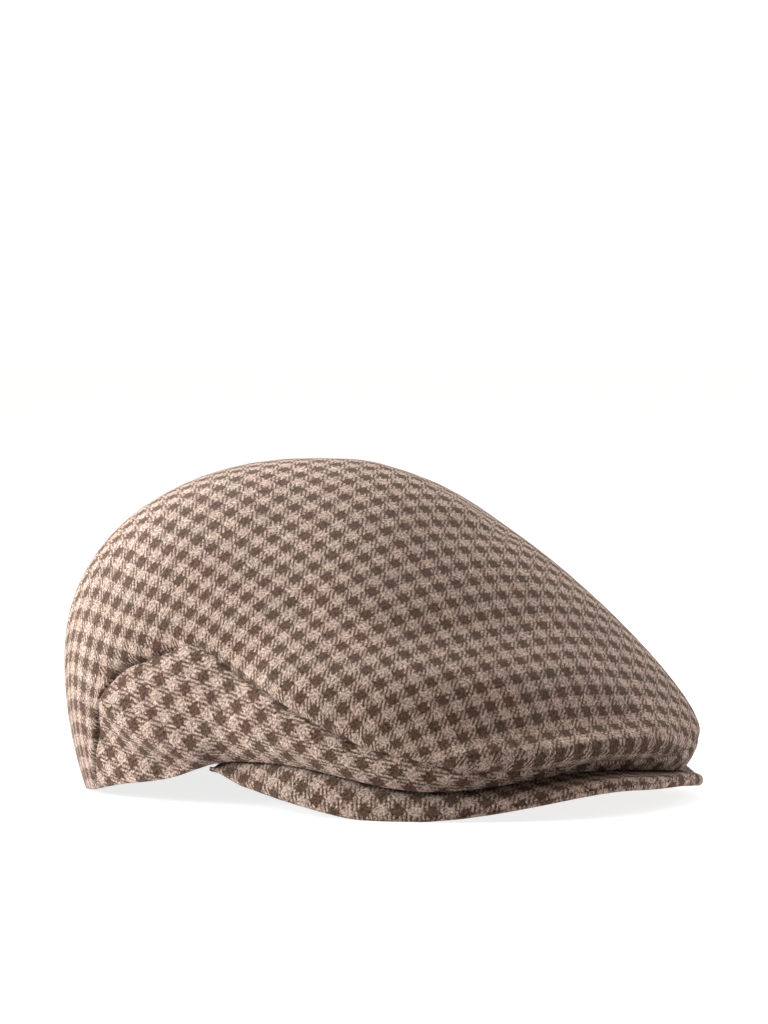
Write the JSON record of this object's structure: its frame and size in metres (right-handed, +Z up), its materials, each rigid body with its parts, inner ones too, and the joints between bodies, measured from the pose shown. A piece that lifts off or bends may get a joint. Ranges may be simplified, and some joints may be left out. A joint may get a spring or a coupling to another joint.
{
  "type": "flat cap",
  "caption": "soft flat cap in houndstooth wool with a short stiff peak under an overhanging crown",
  "frame": {"origin": "centre of the bounding box on the surface the cap rests on", "axes": "+Z up, -Y towards the peak, +X towards the wearer's left"},
  "size_m": [0.2152, 0.25, 0.122],
  "materials": {
    "crown_top_cloth": "brown and beige houndstooth wool",
    "side_panel_right_cloth": "brown and beige houndstooth wool",
    "side_panel_left_cloth": "brown and beige houndstooth wool",
    "peak_cloth": "brown and beige houndstooth wool over a stiff peak"
  },
  "bodies": {
    "root": {"crown_top": "crown_top_cloth", "side_panel_right": "side_panel_right_cloth", "side_panel_left": "side_panel_left_cloth", "peak": "peak_cloth"}
  },
  "joints": []
}
